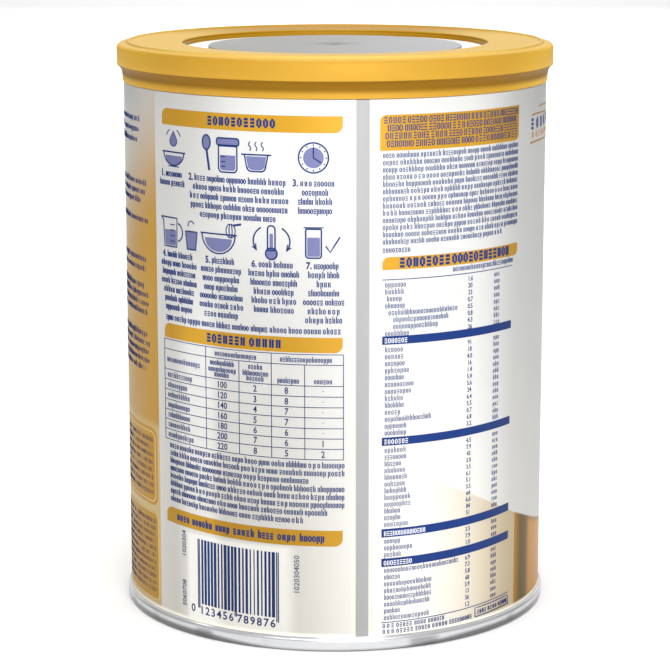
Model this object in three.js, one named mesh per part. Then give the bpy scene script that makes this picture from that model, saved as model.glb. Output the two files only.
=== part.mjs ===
// A large round tin of powdered infant formula, shut, with a push-fit plastic overcap.
// Millimetres, +Z up. The origin is the centre of the ring that the tin stands on.
// Every piece is a turned shape about the Z axis.

import * as THREE from 'three';

// Driving dimensions of the tin
const BODY_RADIUS = 63.5;
const BODY_TOP = 167.0;
const LID_LOWER_EDGE = 159.5;
const LID_TOP = 171.2;

// Room left between pieces that touch on the real tin
const GAP = 0.3;

// Double seam at the foot: a rolled ring, a little wider than the wall
const SEAM_RADIUS = 64.4;
const SEAM_HEIGHT = 4.1;
const SEAM_CORNER = 0.8;
const FOOT_INNER_RADIUS = 62.7;
const FOOT_CORNER = 0.5;

// Sunk bottom panel inside the seam
const PANEL_RADIUS = 61.3;
const PANEL_UNDERSIDE = 3.2;
const BEAD_RADII = [42.5, 49.5, 56.5];
const BEAD_WIDTH = 4.0;
const BEAD_DEPTH = 0.8;
const CENTRE_PANEL_RADIUS = 36.0;
const CENTRE_PANEL_STEP = 0.6;

// Wall: it flares over the seam and is necked in under the lid
const FLARE_RADIUS = 63.95;
const FLARE_HEIGHT = 6.4;
const NECK_RADIUS = 62.6;

// Overcap, from its lower lip to the opening in its top
const LIP_RADIUS = 63.85;
const LIP_HEIGHT = 1.4;
const CONE_LOW_RADIUS = 64.2;
const CONE_LOW = 161.7;
const SKIRT_RADIUS = 65.5;
const SKIRT_LOW = 164.5;
const SKIRT_HIGH = 169.0;
const SHOULDER_RADIUS = 64.3;
const SHOULDER_HEIGHT = 170.3;
const RIB_OUTER_RADIUS = 62.7;
const RIB_INNER_RADIUS = 61.3;
const RIB_CREST = 0.45;
const ANNULUS_HEIGHT = 170.65;
const OPENING_RADIUS = 45.7;
const OPENING_CORNER = 0.5;
const LEDGE_HEIGHT = 169.8;
const LEDGE_WIDTH = 0.45;
const WALL_BOTTOM_RADIUS = 44.95;

// White panel across the opening, and the thin grey disc that lies on its middle
const FLOOR_HEIGHT = 168.9;
const FLOOR_RADIUS = 47.3;
const FLOOR_UNDERSIDE = BODY_TOP + GAP;
const DISC_RADIUS = 38.1;
const DISC_TOP = 169.5;
const DISC_CORNER = 0.1;
const DIMPLE_RADIUS = 2.1;
const DIMPLE_DEPTH = 0.1;

// Facets round a full turn, and steps in each rounded corner
const FACETS = 72;
const CORNER_STEPS = 2;

// Turns a closed outline, drawn as radius and height, about the Z axis
function turned(name, outline, material) {
  const geometry = new THREE.LatheGeometry(outline.getPoints(CORNER_STEPS), FACETS);
  geometry.rotateX(Math.PI / 2);
  const mesh = new THREE.Mesh(geometry, material);
  mesh.name = name;
  return mesh;
}

// Rounds a corner that turns from going outward to going up
function cornerUp(outline, radius, height, corner) {
  outline.absarc(radius - corner, height + corner, corner, -Math.PI / 2, 0, false);
}

// Rounds a corner that turns from going up to going inward
function cornerIn(outline, radius, height, corner) {
  outline.absarc(radius - corner, height - corner, corner, 0, Math.PI / 2, false);
}

// A pressed ring in the sunk panel, hanging down from its underside
function panelBead(outline, middle) {
  const half = BEAD_WIDTH / 2;
  outline.lineTo(middle - half, PANEL_UNDERSIDE);
  outline.lineTo(middle - half / 2, PANEL_UNDERSIDE - BEAD_DEPTH);
  outline.lineTo(middle + half / 2, PANEL_UNDERSIDE - BEAD_DEPTH);
  outline.lineTo(middle + half, PANEL_UNDERSIDE);
}

// Metal end: the sunk panel with its pressed rings, and the seam ring round it
function bottomEnd(material) {
  const outline = new THREE.Path();
  const centreUnderside = PANEL_UNDERSIDE - CENTRE_PANEL_STEP;
  outline.moveTo(0, centreUnderside);
  outline.lineTo(CENTRE_PANEL_RADIUS, centreUnderside);
  outline.lineTo(CENTRE_PANEL_RADIUS + CENTRE_PANEL_STEP, PANEL_UNDERSIDE);
  for (const middle of BEAD_RADII) {
    panelBead(outline, middle);
  }
  outline.lineTo(PANEL_RADIUS, PANEL_UNDERSIDE);
  outline.lineTo(FOOT_INNER_RADIUS - FOOT_CORNER, FOOT_CORNER);
  outline.lineTo(FOOT_INNER_RADIUS, 0);
  cornerUp(outline, SEAM_RADIUS, 0, SEAM_CORNER);
  cornerIn(outline, SEAM_RADIUS, SEAM_HEIGHT, SEAM_CORNER);
  outline.lineTo(0, SEAM_HEIGHT);
  return turned('bottom_end', outline, material);
}

// Printed wall and all that it holds, as one solid, because the tin is shut
function tinBody(material) {
  const outline = new THREE.Path();
  outline.moveTo(0, SEAM_HEIGHT + GAP);
  outline.lineTo(FLARE_RADIUS, SEAM_HEIGHT + GAP);
  outline.lineTo(FLARE_RADIUS, SEAM_HEIGHT + 3 * GAP);
  outline.lineTo(BODY_RADIUS, FLARE_HEIGHT);
  outline.lineTo(BODY_RADIUS, LID_LOWER_EDGE - GAP);
  outline.lineTo(NECK_RADIUS, LID_LOWER_EDGE - GAP);
  outline.lineTo(NECK_RADIUS, BODY_TOP);
  outline.lineTo(0, BODY_TOP);
  return turned('tin_body', outline, material);
}

// Overcap: lip, cone, skirt, rounded shoulder, stacking rib, and a wide flat ring round the opening
function lid(material) {
  const outline = new THREE.Path();
  const inside = NECK_RADIUS + GAP;
  outline.moveTo(inside, LID_LOWER_EDGE);
  outline.lineTo(LIP_RADIUS, LID_LOWER_EDGE);
  outline.lineTo(LIP_RADIUS, LID_LOWER_EDGE + LIP_HEIGHT);
  outline.lineTo(CONE_LOW_RADIUS, CONE_LOW);
  outline.lineTo(SKIRT_RADIUS, SKIRT_LOW);
  outline.lineTo(SKIRT_RADIUS, SKIRT_HIGH);
  outline.quadraticCurveTo(SKIRT_RADIUS, SHOULDER_HEIGHT, SHOULDER_RADIUS, SHOULDER_HEIGHT);
  outline.lineTo(RIB_OUTER_RADIUS, ANNULUS_HEIGHT);
  outline.lineTo(RIB_OUTER_RADIUS - RIB_CREST / 2, LID_TOP);
  outline.lineTo(RIB_INNER_RADIUS + RIB_CREST / 2, LID_TOP);
  outline.lineTo(RIB_INNER_RADIUS, ANNULUS_HEIGHT);
  outline.lineTo(OPENING_RADIUS + OPENING_CORNER, ANNULUS_HEIGHT);
  outline.lineTo(OPENING_RADIUS, ANNULUS_HEIGHT - OPENING_CORNER);
  outline.lineTo(OPENING_RADIUS, LEDGE_HEIGHT);
  outline.lineTo(OPENING_RADIUS - LEDGE_WIDTH, LEDGE_HEIGHT);
  outline.lineTo(WALL_BOTTOM_RADIUS, FLOOR_HEIGHT + GAP);
  outline.lineTo(FLOOR_RADIUS + GAP, FLOOR_HEIGHT + GAP);
  outline.lineTo(FLOOR_RADIUS + GAP, FLOOR_UNDERSIDE);
  outline.lineTo(inside, FLOOR_UNDERSIDE);
  outline.closePath();
  return turned('lid', outline, material);
}

// Flat white panel, held under the ring's inner edge
function lidPanel(material) {
  const outline = new THREE.Path();
  outline.moveTo(0, FLOOR_UNDERSIDE);
  outline.lineTo(FLOOR_RADIUS, FLOOR_UNDERSIDE);
  outline.lineTo(FLOOR_RADIUS, FLOOR_HEIGHT);
  outline.lineTo(0, FLOOR_HEIGHT);
  return turned('lid_panel', outline, material);
}

// Thin grey disc on the white panel, with a small moulding dimple at its centre
function centreDisc(material) {
  const outline = new THREE.Path();
  outline.moveTo(0, FLOOR_HEIGHT + GAP);
  outline.lineTo(DISC_RADIUS, FLOOR_HEIGHT + GAP);
  outline.lineTo(DISC_RADIUS, DISC_TOP - DISC_CORNER);
  outline.lineTo(DISC_RADIUS - DISC_CORNER, DISC_TOP);
  outline.lineTo(DIMPLE_RADIUS, DISC_TOP);
  outline.lineTo(DIMPLE_RADIUS / 2, DISC_TOP - DIMPLE_DEPTH);
  outline.lineTo(0, DISC_TOP - DIMPLE_DEPTH);
  return turned('centre_disc', outline, material);
}

const printedTinplate = new THREE.MeshStandardMaterial({ color: 0xeeece6, roughness: 0.32, metalness: 0.1 });
const bareTinplate = new THREE.MeshStandardMaterial({ color: 0xb9babb, roughness: 0.22, metalness: 1.0 });
const goldPlastic = new THREE.MeshStandardMaterial({ color: 0xe8b44c, roughness: 0.38, metalness: 0.25 });
const whitePlastic = new THREE.MeshStandardMaterial({ color: 0xf7f7f5, roughness: 0.45, metalness: 0.0 });
const greyPlastic = new THREE.MeshStandardMaterial({ color: 0xb9b7b3, roughness: 0.4, metalness: 0.2 });

const tin = new THREE.Group();
tin.add(bottomEnd(bareTinplate));
tin.add(tinBody(printedTinplate));
tin.add(lid(goldPlastic));
tin.add(lidPanel(whitePlastic));
tin.add(centreDisc(greyPlastic));

export default tin;
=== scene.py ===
import math
import random

import bmesh
import bpy
from bpy.props import FloatProperty, FloatVectorProperty, IntProperty, PointerProperty
from mathutils import Matrix, Vector


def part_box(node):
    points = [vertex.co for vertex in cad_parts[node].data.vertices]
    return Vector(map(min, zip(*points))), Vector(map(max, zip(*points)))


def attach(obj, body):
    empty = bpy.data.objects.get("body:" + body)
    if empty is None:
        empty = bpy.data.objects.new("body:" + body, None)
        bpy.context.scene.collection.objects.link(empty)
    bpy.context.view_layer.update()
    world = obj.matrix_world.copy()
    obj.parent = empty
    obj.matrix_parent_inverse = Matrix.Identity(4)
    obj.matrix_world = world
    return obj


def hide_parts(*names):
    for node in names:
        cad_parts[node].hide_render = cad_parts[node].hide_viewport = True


bl_info = {
    "name": "Formula tin dressing",
    "version": (1, 0, 0),
    "blender": (4, 5, 0),
    "location": "View3D > Sidebar > Tin",
    "description": "Dresses the packed formula tin: printed wall, seam, overcap and print",
    "category": "Object",
}

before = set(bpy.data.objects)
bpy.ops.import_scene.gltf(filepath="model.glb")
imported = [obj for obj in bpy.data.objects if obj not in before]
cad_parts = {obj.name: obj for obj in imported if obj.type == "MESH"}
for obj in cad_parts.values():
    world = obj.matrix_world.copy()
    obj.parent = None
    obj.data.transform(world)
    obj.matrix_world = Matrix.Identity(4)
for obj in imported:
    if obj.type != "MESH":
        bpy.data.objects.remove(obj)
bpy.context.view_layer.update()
MM = 0.001
FULL_TURN = 2 * math.pi

# Lowest and highest corners of the tin's solids
BODY_LOW, BODY_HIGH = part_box("tin_body")
_, SEAM_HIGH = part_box("bottom_end")
LID_LOW, LID_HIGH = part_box("lid")
PANEL_LOW, PANEL_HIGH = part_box("lid_panel")
_, DISC_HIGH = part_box("centre_disc")


def from_screen(red, green, blue):
    """A colour as a screen shows it, 0 to 255, turned to linear light."""
    return tuple(
        v / 12.92 if v <= 0.04045 else ((v + 0.055) / 1.055) ** 2.4
        for v in (red / 255, green / 255, blue / 255)
    )


def length(name, description, default):
    """A length in metres, shown in the scene's own unit."""
    return FloatProperty(name=name, description=description, default=default, unit="LENGTH", precision=5)


def colour(name, description, *screen):
    """A colour picker whose default is given as a screen shows it."""
    return FloatVectorProperty(
        name=name, description=description, default=from_screen(*screen), subtype="COLOR", min=0, max=1
    )


def power(name, description, default):
    """A light's power in watts."""
    return FloatProperty(name=name, description=description, default=default, min=0, unit="POWER")


class TinSizes(bpy.types.PropertyGroup):
    """Sizes of the finely turned pieces."""

    wall_radius: length("Wall radius", "Radius of the straight printed wall", 63.5 * MM)
    flare_radius: length("Flare radius", "Radius where the wall runs into the seam", 63.62 * MM)
    flare_top: length("Flare top", "Height where the wall starts to flare", 6.4 * MM)
    neck_radius: length("Neck radius", "Radius of the wall inside the overcap", 62.6 * MM)
    segments: IntProperty(name="Segments", description="Faces round a full turn", default=320, min=48)


class PrintSizes(bpy.types.PropertyGroup):
    """How the print lies on the wall."""

    field_height: length("Field height", "Thickness of a colour field above the wall", 0.04 * MM)
    ink_height: length("Ink height", "Thickness of lines and marks above the wall", 0.07 * MM)
    top_height: length("Top height", "Thickness of what is printed over a field", 0.10 * MM)
    sink: length("Sink", "How far the print reaches into the wall, so no gap shows", 0.03 * MM)
    rise: length("Rise", "How far low rows of print rise 50 mm from the front", 1.1 * MM)
    chord: length("Chord", "Longest flat stretch round the wall", 1.5 * MM)
    seed: IntProperty(name="Seed", description="Start of every random draw", default=7)


class Colours(bpy.types.PropertyGroup):
    """Colours of lacquer, inks and plastics, before light falls on them; the dark foil colour paints
    reflection into the foil.
    """

    lacquer: colour("White lacquer", "Printed wall", 212, 212, 210)
    weld: colour("Side weld", "Unprinted stripe along the side weld", 163, 163, 164)
    cream: colour("Cream", "Corner field beside the value list", 198, 180, 142)
    gold_ink: colour("Gold ink", "Bars, boxes and side panel", 197, 148, 34)
    gold_leaf: colour("Gold foil ink", "Metallic field round the foot", 208, 144, 24)
    panel_ground: colour("Panel ground", "Pale gold between the boxes of the side panel", 212, 184, 124)
    # Painted reflection: the dark of the foil's streaks, also laid darker along the foil's top edge
    foil_dark: colour("Dark foil", "Streaks where the foil looks away from the light", 106, 82, 4)
    blue_ink: colour("Blue ink", "Bars, lines and marks", 10, 48, 114)
    lavender_ink: colour("Lavender ink", "Fills of the pictograms", 113, 116, 160)
    white_ink: colour("White ink", "Marks on blue bars", 244, 245, 250)
    gold_plastic: colour("Gold plastic", "Overcap", 194, 148, 50)
    white_plastic: colour("White plastic", "Panel sunk in the overcap", 250, 250, 249)
    grey_plastic: colour("Grey plastic", "Disc on the panel", 144, 143, 140)
    tinplate: colour("Tinplate", "Seam and bottom end", 205, 206, 208)


class Studio(bpy.types.PropertyGroup):
    """Camera, floor and lights."""

    camera_back: length("Camera distance", "From the tin's axis, towards the viewer", 734.152 * MM)
    camera_height: length("Camera height", "Above the floor", 227.965 * MM)
    camera_tilt: FloatProperty(
        name="Camera tilt",
        description="Turn from straight down",
        default=math.radians(78.6339),
        subtype="ANGLE",
    )
    lens: FloatProperty(name="Lens", description="Focal length on a 36 mm sensor", default=130.626)
    floor_size: length("Floor size", "Side of the square floor", 24.0)
    key_power: power("Key power", "Softbox over the camera, a little to the right", 5.9)
    fill_power: power("Fill power", "Softbox high at the left front", 0.3)
    low_power: power("Low power", "Small softbox low at the left", 0.12)
    back_power: power("Back power", "Wide softbox behind, low enough to show in the overcap", 14.0)
    top_power: power("Top power", "Long overhead softbox over the floor", 61.0)


# Node helpers, for shader and geometry trees alike


def feed(tree, value, socket):
    """Links a value to a socket, or sets it there if it is a plain one."""
    if isinstance(value, bpy.types.NodeSocket):
        tree.links.new(value, socket)
    else:
        socket.default_value = value


def put(tree, kind, inputs=None, **settings):
    """Adds a node, sets its options, and links or sets its inputs."""
    made = tree.nodes.new(kind)
    for key, value in settings.items():
        setattr(made, key, value)
    for key, value in (inputs or {}).items():
        feed(tree, value, made.inputs[key])
    return made


def node(tree, kind, inputs=None, **settings):
    """Adds a node and returns its first output."""
    return put(tree, kind, inputs, **settings).outputs[0]


def maths(tree, operation, *values):
    """A Math node's result."""
    return node(tree, "ShaderNodeMath", dict(enumerate(values)), operation=operation)


def in_order(operation):
    """A function that takes two or more values through one Math operation, in order."""

    def run(tree, first, *others):
        for other in others:
            first = maths(tree, operation, first, other)
        return first

    return run


times, plus, minus = in_order("MULTIPLY"), in_order("ADD"), in_order("SUBTRACT")


def noise(tree, where, scale, detail, roughness=0.5):
    """Noise that wavers round 0.5 from place to place."""
    inputs = {"Vector": where, "Scale": scale, "Detail": detail, "Roughness": roughness}
    return node(tree, "ShaderNodeTexNoise", inputs)


def ramp(tree, value, low, high, smooth=True, start=0.0, end=1.0):
    """0 to 1 as value goes from low to high, held at both ends."""
    steps = "SMOOTHSTEP" if smooth else "LINEAR"
    inputs = {"Value": value, "From Min": low, "From Max": high, "To Min": start, "To Max": end}
    return put(tree, "ShaderNodeMapRange", inputs, interpolation_type=steps).outputs["Result"]


def blend(tree, factor, under, over, kind="MIX"):
    """Mixes two colours."""
    inputs = {0: factor, 6: under, 7: over}
    return put(tree, "ShaderNodeMix", inputs, data_type="RGBA", blend_type=kind).outputs[2]


def opaque(shade):
    """A colour with full cover, as colour sockets take it."""
    return (*shade[:3], 1.0)


def screen(*shade):
    """The same, from a colour as a screen shows it."""
    return opaque(from_screen(*shade))


SOCKET_KINDS = {float: "Float", int: "Int", tuple: "Color"}


def new_group(name, kind, inputs, outputs):
    """A node group: inputs are labels with defaults or kinds, outputs labels with kinds."""
    tree = bpy.data.node_groups.new(name, kind)
    for label, value in inputs.items():
        sort = SOCKET_KINDS.get(type(value), value)
        made = tree.interface.new_socket(label, in_out="INPUT", socket_type="NodeSocket" + sort)
        if sort != value:
            made.default_value = value
    for label, sort in outputs.items():
        tree.interface.new_socket(label, in_out="OUTPUT", socket_type="NodeSocket" + sort)
    return tree, tree.nodes.new("NodeGroupInput"), tree.nodes.new("NodeGroupOutput")


def kept(name):
    """Marks what builds a node group: it is built once, and then found by its name."""

    def mark(build):
        return lambda: bpy.data.node_groups.get(name) or build(name)

    return mark


# Shader node groups


@kept("place_on_tin")
def place_group(name):
    """Where a point is on the tin: millimetres round the wall from the front, height, and radius."""
    outputs = {"Around": "Float", "Height": "Float", "Radius": "Float"}
    tree, _, out = new_group(name, "ShaderNodeTree", {}, outputs)
    split = put(tree, "ShaderNodeSeparateXYZ", {0: spot_on(tree)}).outputs
    turn = maths(tree, "ARCTAN2", split["X"], times(tree, split["Y"], -1.0))
    flat = node(tree, "ShaderNodeCombineXYZ", {"X": split["X"], "Y": split["Y"]})
    radius = put(tree, "ShaderNodeVectorMath", {0: flat}, operation="LENGTH").outputs["Value"]
    wall = bpy.context.scene.tin_sizes.wall_radius
    results = ((turn, wall / MM), (split["Z"], 1 / MM), (radius, 1 / MM))
    for (value, scale), socket in zip(results, out.inputs):
        tree.links.new(times(tree, value, scale), socket)
    return tree


def spot_on(tree):
    """A point's own place on the tin, in metres."""
    return put(tree, "ShaderNodeTexCoord").outputs["Object"]


def place_on(tree):
    """The three results of place_group."""
    return put(tree, "ShaderNodeGroup", node_tree=place_group()).outputs[:]


@kept("shading_by_place")
def shading_group(name):
    """Paints shade into a print colour by its place: darker at the right, warmer and darker low at the left,
    with less of it in a pale upright stripe of painted highlight at the left.
    """
    inputs = {"Colour": (1, 1, 1, 1), "Relief": 0.0}
    tree, inlet, out = new_group(name, "ShaderNodeTree", inputs, {"Shaded": "Color"})
    around, height, _ = place_on(tree)
    high = ramp(tree, height, 104.0, 138.0)
    deep = plus(tree, ramp(tree, height, 150.0, 8.0, start=0.22, end=0.82), times(tree, high, 0.16))
    across = times(tree, high, minus(tree, 1.0, ramp(tree, around, -25.0, -45.0)))
    less = times(tree, ramp(tree, around, 24.0, -18.0), minus(tree, 1.0, across))
    front = ramp(tree, maths(tree, "ABSOLUTE", around), 192.0, 110.0)
    less = times(tree, less, ramp(tree, around, -66.0, -46.0, start=0.6), front)
    # Painted highlight: a pale upright stripe at the left where the painted shade is less
    painted_highlight_band = times(tree, ramp(tree, around, -54.0, -45.0), ramp(tree, around, -33.0, -40.0, end=0.45))
    deep = minus(tree, deep, times(tree, painted_highlight_band, ramp(tree, height, 118.0, 84.0)), inlet.outputs["Relief"])
    left = times(tree, less, maths(tree, "MAXIMUM", deep, 0.0))
    # Painted shade: a warm dark grey multiplied in at the left, a plain grey at the right, both fading
    # towards the back
    warm = blend(tree, left, inlet.outputs["Colour"], (0.5, 0.488, 0.462, 1.0), "MULTIPLY")
    right = times(tree, ramp(tree, around, 40.0, 64.0, end=0.56), front)
    tree.links.new(blend(tree, right, warm, (0.5, 0.5, 0.5, 1.0), "MULTIPLY"), out.inputs[0])
    return tree


@kept("handling")
def handling_group(name):
    """Faint signs of handling: uneven gloss, fine scuffs, and the height of the surface's own ripple."""
    inputs = {"Gloss": 0.3, "Unevenness": 0.05, "Scuffs": 0.1, "Ripple size": 400.0, "Colour": (1, 1, 1, 1)}
    outputs = {"Roughness": "Float", "Height": "Float", "Worn colour": "Color"}
    tree, inlet, out = new_group(name, "ShaderNodeTree", inputs, outputs)
    given = inlet.outputs
    where = spot_on(tree)
    smear = noise(tree, where, 34.0, 4.0, 0.6)
    stretch = node(tree, "ShaderNodeMapping", {"Vector": where, "Scale": (1.0, 1.0, 0.22)})
    fine = ramp(tree, noise(tree, stretch, 900.0, 2.0, 0.7), 0.62, 0.78)
    worn = times(tree, fine, ramp(tree, smear, 0.5, 0.75), given["Scuffs"])
    uneven = times(tree, minus(tree, smear, 0.5), given["Unevenness"])
    change = plus(tree, uneven, worn)
    gloss = plus(tree, given["Gloss"], change)
    results = (
        node(tree, "ShaderNodeClamp", {0: gloss, 1: 0.05, 2: 0.95}),
        noise(tree, where, given["Ripple size"], 1.0),
        blend(tree, times(tree, change, 0.35), given["Colour"], (0.55, 0.54, 0.52, 1.0)),
    )
    for result, socket in zip(results, out.inputs):
        tree.links.new(result, socket)
    return tree


def finish_material(name, base, gloss, unevenness, scuffs, ripple, bump, **sockets):
    """A material of one kind of surface; base is a colour, or builds colour and metallic in the tree."""
    if name in bpy.data.materials:
        return bpy.data.materials[name]
    material = bpy.data.materials.new(name)
    material.use_nodes = True
    tree = material.node_tree
    surface = tree.nodes["Principled BSDF"].inputs
    base, metallic = base(tree) if callable(base) else (opaque(base), 0.0)
    given = {"Colour": base, "Gloss": gloss, "Unevenness": unevenness, "Scuffs": scuffs}
    given["Ripple size"] = ripple
    handled = put(tree, "ShaderNodeGroup", given, node_tree=handling_group()).outputs
    relief = {"Height": handled["Height"], "Strength": 1.0, "Distance": bump}
    tree.links.new(handled["Worn colour"], surface["Base Color"])
    tree.links.new(handled["Roughness"], surface["Roughness"])
    tree.links.new(node(tree, "ShaderNodeBump", relief), surface["Normal"])
    feed(tree, metallic, surface["Metallic"])
    for label, value in sockets.items():
        surface[label.replace("_", " ")].default_value = value
    return material


def ink_material(name, shade, metal=0.0):
    """Ink under the tin's clear lacquer, with painted shade by its place on the wall."""

    def toned(tree):
        return node(tree, "ShaderNodeGroup", {"Colour": opaque(shade)}, node_tree=shading_group()), metal

    return finish_material(name, toned, 0.42, 0.05, 0.05, 900.0, 0.006 * MM, Specular_IOR_Level=0.22)


def ink(shade, level="ink"):
    """What a print piece is laid with: its height off the wall, its material and its slot."""
    height = getattr(bpy.context.scene.tin_print, level + "_height")
    if shade == "cream":
        return height, ink_material("cream_ink_look", from_screen(236, 208, 140)), "white_ink"
    slot = shade + "_ink"
    metal = 0.15 if shade == "gold" else 0.0
    return height, ink_material(slot + "_look", getattr(bpy.context.scene.tin_colours, slot), metal), slot


def foil_streaks(tree, around):
    """Painted reflection on the foil: upright dark streaks, with one broad dark streak near its right end.
    """
    first = times(tree, ramp(tree, around, 62.0, 68.5), ramp(tree, around, 76.0, 71.0))
    way = node(tree, "ShaderNodeCombineXYZ", {"X": times(tree, around, 0.06)})
    others = ramp(tree, noise(tree, way, 1.0, 3.0, 0.55), 0.5, 0.66)
    others = times(tree, others, ramp(tree, around, 78.0, 96.0), ramp(tree, around, 190.0, 140.0, end=0.7))
    return maths(tree, "MAXIMUM", first, others)


# Millimetres: the way round the wall, the right end of the cream corner, and the foil's length and height
ROUND_WALL, CREAM_END, FOIL_END, FOIL_SCALE = 399.0, 63.5, 275.0, 160.0

# Radius in millimetres that parts the outer faces from the inner ones
INNER_RADIUS = 63.0


def printed_wall(tree):
    """Fields of colour round the wall: lacquer, side weld, cream corner, fading gold panel, gold foil with
    painted reflection streaks, all under painted shade by place.
    """
    shades = bpy.context.scene.tin_colours
    around, height, _ = place_on(tree)

    # Warm tint low on the wall
    low = ramp(tree, height, 110.0, 0.0, end=0.5)
    base = blend(tree, low, opaque(shades.lacquer), screen(240, 236, 226))

    # Cream corner: strong at its right edge, fading out to the left
    edge = minus(tree, 63.1, times(tree, around, 0.467))
    below = ramp(tree, minus(tree, edge, height), -0.25, 0.25)
    tone = ramp(tree, around, 20.0, 66.0)
    inside = maths(tree, "LESS_THAN", around, CREAM_END)
    right = maths(tree, "GREATER_THAN", around, 9.7)
    base = blend(tree, times(tree, below, tone, inside, right), base, opaque(shades.cream))

    # Gold foil that rises round the back from the cream corner to the side panel
    back = maths(tree, "MODULO", plus(tree, around, ROUND_WALL - CREAM_END), ROUND_WALL)
    rise = put(tree, "ShaderNodeFloatCurve", {"Value": maths(tree, "DIVIDE", back, FOIL_END)})
    points = rise.mapping.curves[0].points
    points[0].location = (0.0, 33.5 / FOIL_SCALE)
    points[1].location = (1.0, 146.0 / FOIL_SCALE)
    for along, up in ((31.5, 24.5), (80.0, 20.0), (135.0, 27.0), (190.0, 58.0), (240.0, 118.0)):
        points.new(along / FOIL_END, up / FOIL_SCALE)
    rise.mapping.update()
    gold_edge = times(tree, rise.outputs[0], FOIL_SCALE)
    soft = ramp(tree, back, 60.0, 270.0, start=0.3, end=27.0)
    depth = maths(tree, "DIVIDE", minus(tree, gold_edge, height), soft)
    foil = ramp(tree, depth, -1.0, 1.0)
    behind = maths(tree, "LESS_THAN", back, FOIL_END)
    soft_side = ramp(tree, around, -60.3, -60.9)
    side = maths(tree, "MAXIMUM", maths(tree, "GREATER_THAN", around, CREAM_END), soft_side)
    foil = times(tree, foil, behind, side)
    panel = ramp(tree, back, 150.0, 250.0)
    # Painted reflection: dark upright streaks on the foil
    leaf = blend(tree, foil_streaks(tree, around), opaque(shades.gold_leaf), opaque(shades.foil_dark))
    gold = blend(tree, panel, leaf, opaque(shades.gold_ink))
    rim = times(tree, ramp(tree, depth, 7.0, 1.0), ramp(tree, around, 64.0, 78.0, end=0.5))
    gold = blend(tree, rim, gold, opaque(shades.foil_dark))
    ground = times(tree, panel, ramp(tree, height, 62.0, 58.0))
    gold = blend(tree, ground, gold, opaque(shades.panel_ground))
    base = blend(tree, foil, base, gold)
    metal = times(tree, foil, minus(tree, 0.85, times(tree, panel, 0.75)))

    # Side weld left without print, with a faint warm line on each side low down
    weld = times(tree, ramp(tree, around, 5.7, 6.1), ramp(tree, around, 9.9, 9.5))
    beside = times(tree, ramp(tree, around, 4.2, 5.6), ramp(tree, around, 12.6, 10.0))
    warm = times(tree, beside, ramp(tree, height, 90.0, 10.0, end=0.7))
    base = blend(tree, warm, base, screen(250, 240, 214))
    base = blend(tree, weld, base, opaque(shades.weld))

    # Painted shade by place, lessened on the paler patch behind the bars
    sides = times(tree, ramp(tree, around, -48.6, -46.2), ramp(tree, around, -10.0, -15.0))
    patch = times(tree, sides, ramp(tree, height, 31.5, 30.0, end=0.42))
    base = node(tree, "ShaderNodeGroup", {"Colour": base, "Relief": patch}, node_tree=shading_group())

    # The print ends in a pale line above the seam
    foot = times(tree, ramp(tree, height, 5.5, 4.5), minus(tree, 1.0, weld))
    base = blend(tree, foot, base, screen(238, 233, 218))
    return base, metal


def brushed_plate(tree):
    """Bare tinplate with fine rolling lines round the seam, and painted reflection: a bright upper half, a
    dark lower edge and a few dark stretches.
    """
    around, height, radius = place_on(tree)
    along = {"X": times(tree, around, 0.02), "Y": times(tree, height, 5.0), "Z": radius}
    grain = noise(tree, node(tree, "ShaderNodeCombineXYZ", along), 2.0, 5.0, 0.65)
    plate = opaque(bpy.context.scene.tin_colours.tinplate)
    base = blend(tree, ramp(tree, grain, 0.5, 0.85), plate, screen(184, 184, 186))

    # Painted reflection: bright upper half, dark lower edge, and a few dark stretches as in a room's
    # reflection
    away = ramp(tree, maths(tree, "ABSOLUTE", around), 12.0, 46.0, end=1.5)
    painted_bright_top = ramp(tree, minus(tree, height, away), -0.2, 1.1)
    base = blend(tree, painted_bright_top, screen(120, 120, 122), base)
    way = node(tree, "ShaderNodeCombineXYZ", {"X": times(tree, around, 0.06)})
    stretch = ramp(tree, noise(tree, way, 1.0, 1.0), 0.54, 0.66, end=0.6)
    outside = maths(tree, "GREATER_THAN", radius, INNER_RADIUS)
    stretch = times(tree, stretch, ramp(tree, height, 3.6, 2.2), outside)
    base = blend(tree, stretch, base, screen(96, 96, 99))
    base = blend(tree, minus(tree, 1.0, outside), base, plate)
    return base, minus(tree, 1.0, times(tree, painted_bright_top, outside, 0.55))


def pearl_gold(tree):
    """Pearl gold plastic with painted light: painted shade under the skirt, in the opening and behind,
    painted highlight on top and at both sides.
    """
    around, height, radius = place_on(tree)
    away = maths(tree, "ABSOLUTE", around)
    under_skirt_shade = times(tree, ramp(tree, height, 160.3, 162.2), ramp(tree, height, 164.75, 164.4))
    rear_shade = times(tree, ramp(tree, away, 120.0, 175.0), ramp(tree, height, 170.1, 170.4))
    opening_shade = times(tree, ramp(tree, height, 170.62, 170.3), maths(tree, "LESS_THAN", radius, 46.4))
    depth = times(tree, under_skirt_shade, maths(tree, "GREATER_THAN", radius, INNER_RADIUS), 0.96)
    gold = opaque(bpy.context.scene.tin_colours.gold_plastic)
    # Painted light: paler at both sides and on top; painted shade behind, on the opening's wall and in the
    # cove under the skirt
    for share, shade in (
        (ramp(tree, away, 46.0, 88.0), (238, 190, 66)),
        (ramp(tree, height, 170.1, 170.5), (226, 186, 92)),
        (rear_shade, (188, 142, 48)),
        (opening_shade, (172, 126, 18)),
        (depth, (126, 86, 0)),
    ):
        gold = blend(tree, share, gold, screen(*shade))
    return gold, 0.1


def disc_grey(tree):
    """Grey of the disc, a little paler towards one side as a painted highlight."""
    across = put(tree, "ShaderNodeSeparateXYZ", {0: spot_on(tree)}).outputs["X"]
    grey = opaque(bpy.context.scene.tin_colours.grey_plastic)
    return blend(tree, ramp(tree, across, -0.02, 0.04), grey, screen(170, 171, 174)), 0.1


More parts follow.
